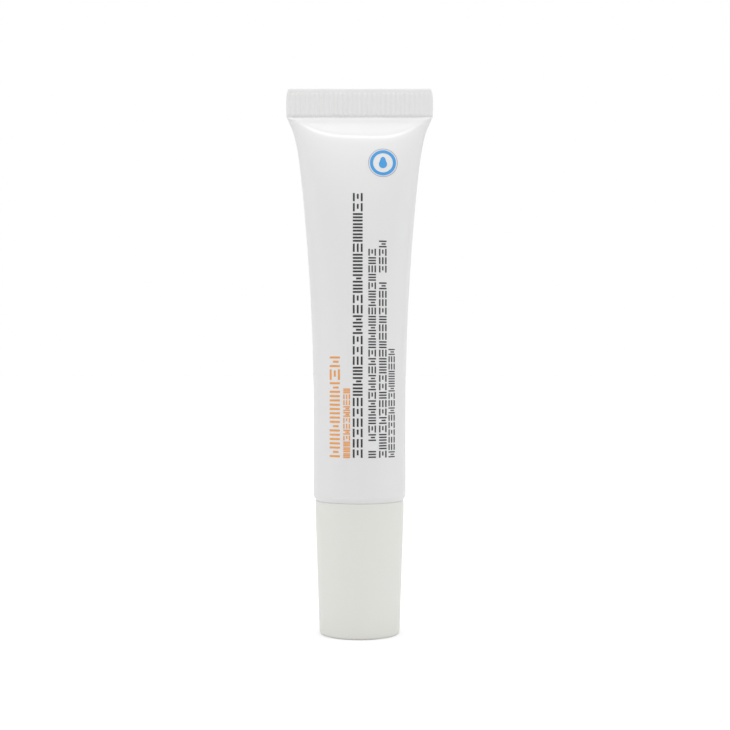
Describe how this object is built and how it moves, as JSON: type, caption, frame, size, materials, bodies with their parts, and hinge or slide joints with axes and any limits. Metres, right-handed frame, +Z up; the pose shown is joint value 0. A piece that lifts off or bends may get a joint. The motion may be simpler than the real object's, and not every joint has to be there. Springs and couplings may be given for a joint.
{
  "type": "ointment tube",
  "caption": "Slim white squeeze tube for ointment, round at its foot and pressed flat at a crimped seal, standing on a tapered screw cap that lifts off a long nozzle.",
  "frame": {"origin": "middle of the cap's closed end, which is the face that the tube stands on", "axes": "+Z up along the tube from the cap to the seal, +X along the width of the seal, -Y out of the front of the tube"},
  "size_m": [0.031, 0.0194, 0.1143],
  "materials": {
    "sleeve": "satin",
    "head": "satin",
    "ointment": "moist",
    "cap": "matte"
  },
  "bodies": {
    "cap": {"screw_cap": "cap"},
    "tube": {"tube_sleeve": "sleeve", "tube_head": "head", "ointment": "ointment"}
  },
  "joints": [
    {"name": "cap_off", "type": "slide", "parent": "cap", "child": "tube", "axis": [0, 0, 1], "range_m": [0, 0.03]}
  ]
}
